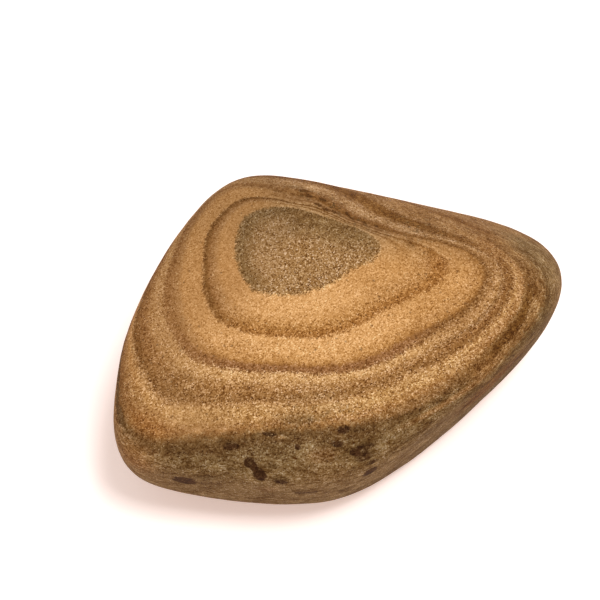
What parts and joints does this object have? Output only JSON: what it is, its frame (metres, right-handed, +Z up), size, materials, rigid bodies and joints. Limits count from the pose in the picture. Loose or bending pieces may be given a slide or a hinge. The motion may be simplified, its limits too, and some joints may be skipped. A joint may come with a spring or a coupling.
{
  "type": "river pebble",
  "caption": "Flattish river pebble of banded brown sandstone, worn smooth, with contour-like rings on its top; lies on its flat sole.",
  "frame": {"origin": "middle of the stone's plan box, on the surface that it lies on", "axes": "+X along the stone's length, from the blunt tail to the narrower nose; +Y towards its back; +Z up, across its thickness"},
  "size_m": [0.07, 0.051, 0.026],
  "materials": {
    "banded_sandstone": "matte, fine-grained, water-worn"
  },
  "bodies": {
    "root": {"pebble": "banded_sandstone"}
  },
  "joints": []
}
